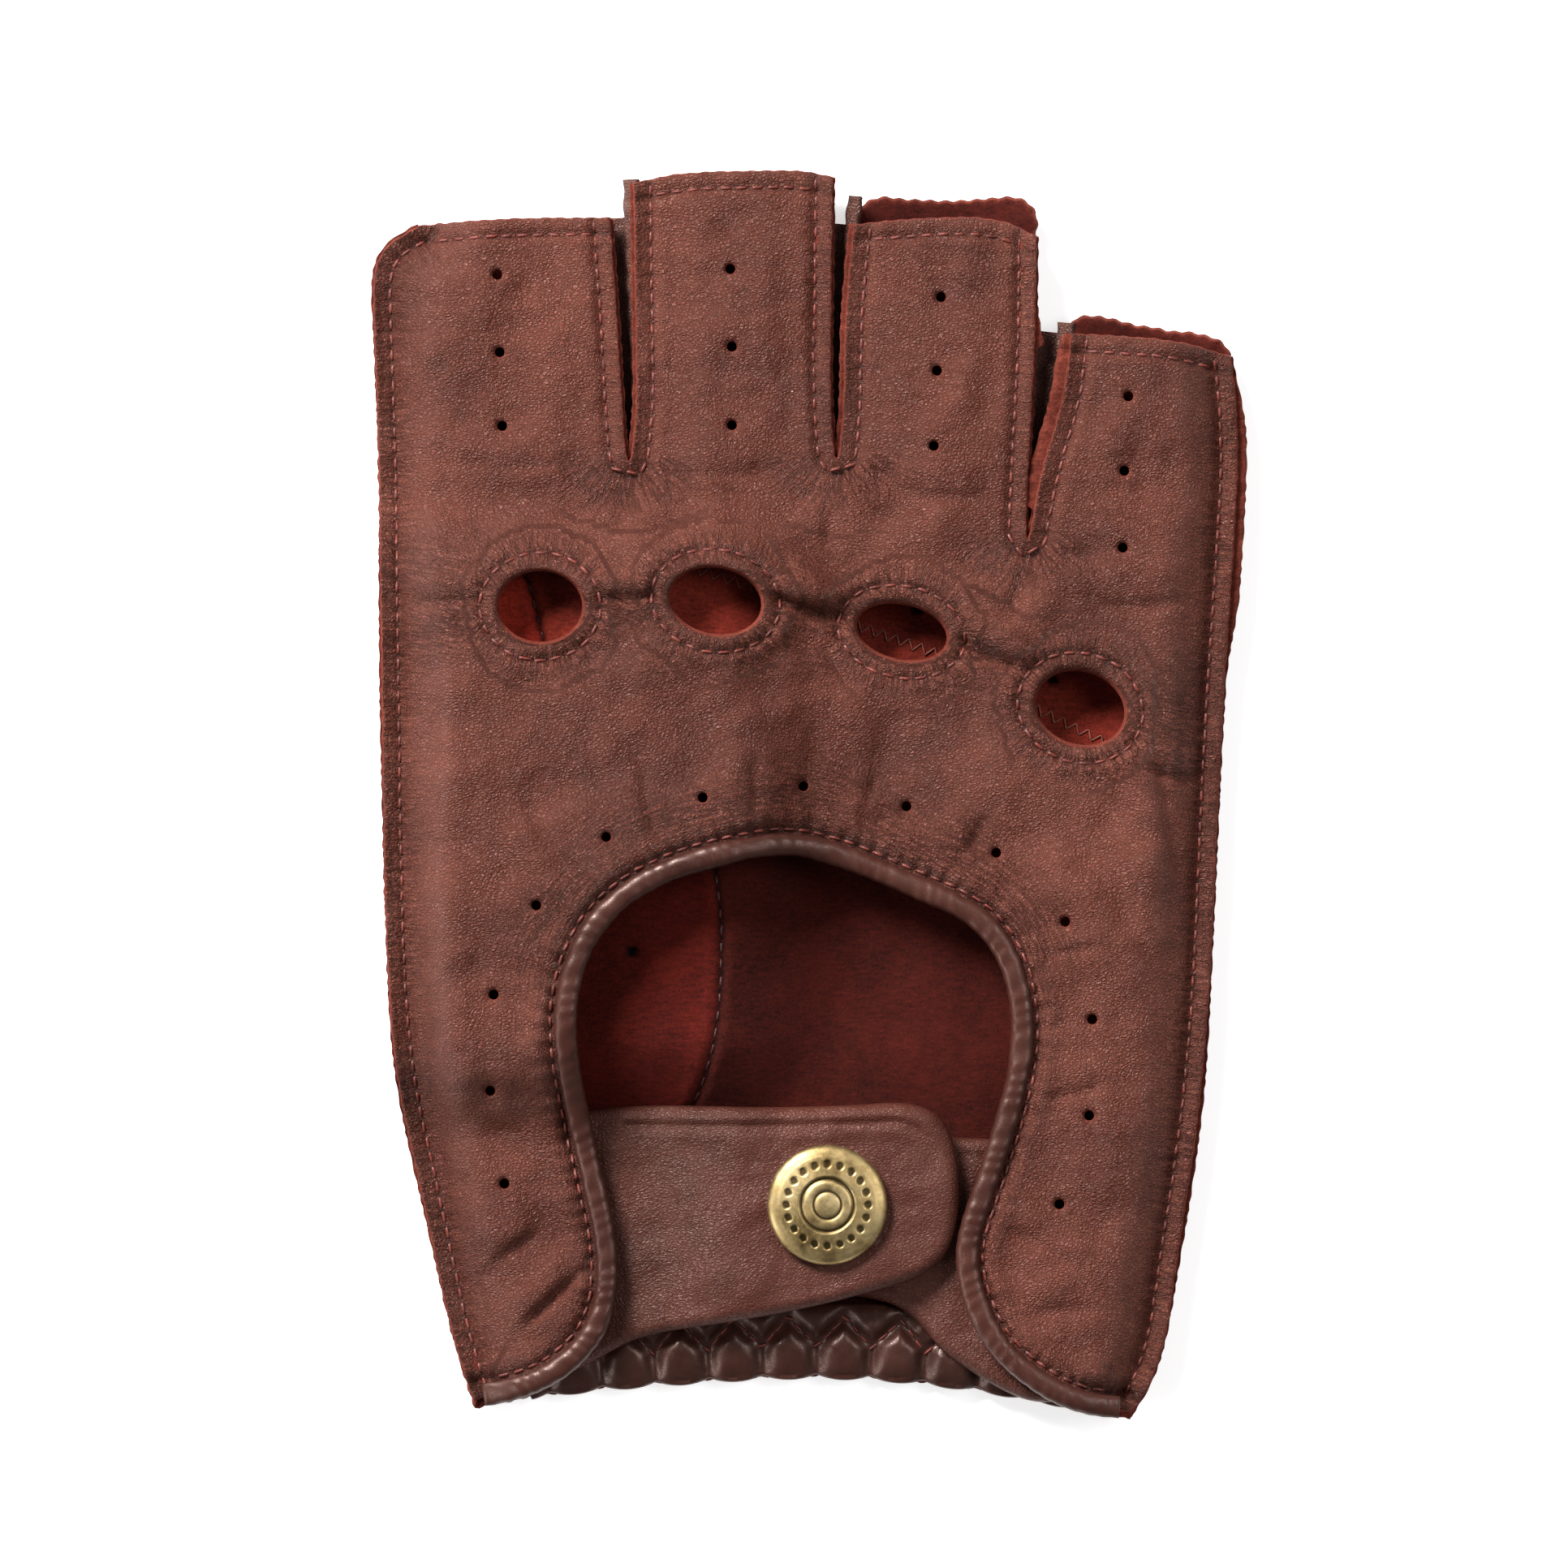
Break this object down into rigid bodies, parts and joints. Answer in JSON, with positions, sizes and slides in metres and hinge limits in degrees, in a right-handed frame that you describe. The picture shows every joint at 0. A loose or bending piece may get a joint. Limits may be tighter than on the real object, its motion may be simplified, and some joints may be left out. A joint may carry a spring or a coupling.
{
  "type": "driving glove",
  "caption": "Right-hand half-finger leather driving glove with knuckle openings, a bound cut-out on the back and a snap strap at the wrist.",
  "frame": {"origin": "middle of the footprint, on the surface that the glove lies on, palm down", "axes": "+Y to the finger tips, +X to the little finger, +Z out of the back of the hand"},
  "size_m": [0.108, 0.156, 0.0148],
  "materials": {
    "leather": "semi-gloss grain",
    "suede": "napped, matte",
    "binding_leather": "rolled, semi-gloss",
    "thread": "waxed polyester",
    "brass": "antique brushed",
    "steel_spring": "drawn wire",
    "elastic": "woven"
  },
  "bodies": {
    "hand": {"back_panel_hand": "leather", "binding_thread": "thread", "cutout_binding": "binding_leather", "gusset_thread": "thread", "hem_thread": "thread", "knuckle_facing_index": "suede", "knuckle_facing_little": "suede", "knuckle_facing_middle": "suede", "knuckle_facing_ring": "suede", "knuckle_thread_index": "thread", "knuckle_thread_little": "thread", "knuckle_thread_middle": "thread", "knuckle_thread_ring": "thread", "palm_panel_hand": "leather", "side_thread_index_hand": "thread", "side_thread_little_hand": "thread", "snap_post": "brass", "snap_stud": "brass", "strap_root_lining": "suede", "strap_root_outer": "leather", "thumb_gusset": "leather", "thumb_tongue": "leather", "under_tab_lining": "suede", "under_tab_outer": "leather", "wrist_elastic": "elastic", "wrist_hem": "leather"},
    "fingers": {"back_panel_fingers": "leather", "palm_panel_fingers": "leather", "fourchette_index_middle": "leather", "fourchette_middle_ring": "leather", "fourchette_ring_little": "leather", "fork_thread_index_middle": "thread", "fork_thread_middle_ring": "thread", "fork_thread_ring_little": "thread", "side_thread_index_finger": "thread", "side_thread_little_finger": "thread", "tip_thread_index": "thread", "tip_thread_middle": "thread", "tip_thread_ring": "thread", "tip_thread_little": "thread"},
    "thumb": {"thumb_sleeve": "leather"},
    "strap": {"strap_outer": "leather", "strap_lining": "suede", "snap_cap": "brass", "snap_socket": "brass", "snap_spring": "steel_spring"}
  },
  "joints": [
    {"name": "strap_open", "type": "hinge", "parent": "hand", "child": "strap", "pos_m": [-0.0223, -0.0535, 0.0049], "axis": [0, -1, 0], "range_deg": [0, 105]},
    {"name": "thumb_swing", "type": "hinge", "parent": "hand", "child": "thumb", "pos_m": [-0.048, -0.0182, 0.003], "axis": [0, 0, 1], "range_deg": [0, 40]},
    {"name": "knuckle_flex", "type": "hinge", "parent": "hand", "child": "fingers", "pos_m": [0, 0.03, 0], "axis": [-0.9892, 0.1465, 0], "range_deg": [0, 60]}
  ]
}
